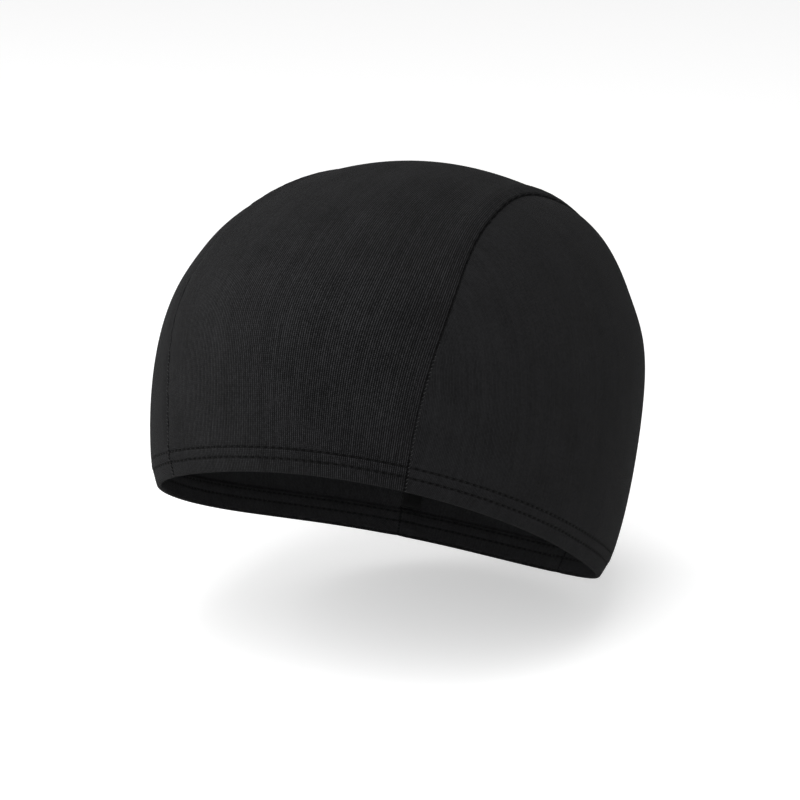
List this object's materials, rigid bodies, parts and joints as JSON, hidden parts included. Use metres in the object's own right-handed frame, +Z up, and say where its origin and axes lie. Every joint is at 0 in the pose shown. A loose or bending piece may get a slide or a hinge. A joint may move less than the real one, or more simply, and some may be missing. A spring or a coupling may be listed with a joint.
{
  "type": "fabric swim cap",
  "caption": "Stretch-knit swim cap in its worn form: a strip from forehead to nape between side panels, with an overlocked seam on each side and a stitched hem round the open rim.",
  "frame": {"origin": "centre of the head opening, halfway between the middle of the front rim and the middle of the back rim", "axes": "+Z up along an upright head, front along -Y, wearer's left along +X; the opening slopes down from the front to the back"},
  "size_m": [0.1512, 0.1959, 0.1518],
  "materials": {
    "knit": "fine matte stretch knit with a faint sheen",
    "thread": "fine textured sewing thread"
  },
  "bodies": {
    "root": {"centre_panel": "knit", "side_panel_left": "knit", "side_panel_right": "knit", "hem_facing": "knit", "seam_allowance_left": "thread", "seam_allowance_right": "thread"}
  },
  "joints": []
}
